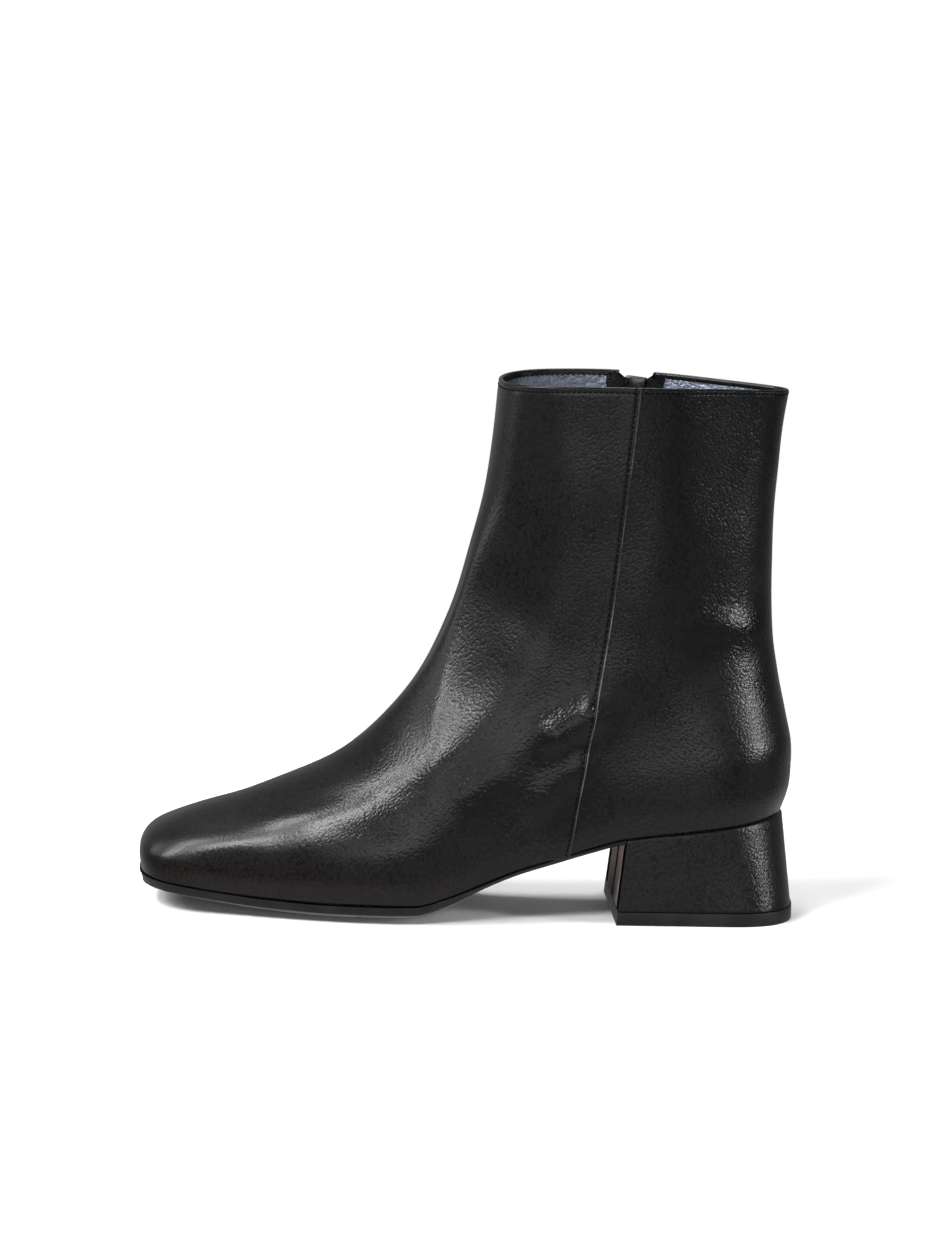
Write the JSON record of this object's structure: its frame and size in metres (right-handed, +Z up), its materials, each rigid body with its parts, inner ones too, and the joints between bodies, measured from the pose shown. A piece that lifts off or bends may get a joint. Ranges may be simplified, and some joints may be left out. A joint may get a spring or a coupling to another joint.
{
  "type": "ankle boot",
  "caption": "Left ankle boot with a soft square toe, a smooth leather upper open at the collar, a low flared block heel, a thin sole and an inside zip with a hanging pull tab.",
  "frame": {"origin": "on the floor, under the middle of the boot's bounding box", "axes": "+X towards the toe, +Y towards the outer (lateral) side of this left boot, +Z up"},
  "size_m": [0.258, 0.0864, 0.2115],
  "materials": {
    "black_leather": "smooth black leather with a fine grain and a satin gloss",
    "heel_leather": "black leather wrapped over the heel, satin",
    "sole_rubber": "matt black rubber with a lightly worn edge",
    "grey_lining": "slate grey lining with a faint sheen",
    "zip_tape": "woven black tape with a black coil",
    "dark_metal": "dark plated metal"
  },
  "bodies": {
    "boot": {"upper": "black_leather", "outsole": "sole_rubber", "insole": "grey_lining", "heel_block": "heel_leather", "heel_lift": "sole_rubber", "zip_tape_front": "zip_tape", "zip_tape_back": "zip_tape", "zip_slider": "dark_metal"},
    "pull": {"zip_pull": "dark_metal"}
  },
  "joints": [
    {"name": "pull_swing", "type": "hinge", "parent": "boot", "child": "pull", "pos_m": [-0.06468, -0.03298, 0.20318], "axis": [-0.9744, 0.2038, -0.0952], "range_deg": [0, 150]}
  ]
}
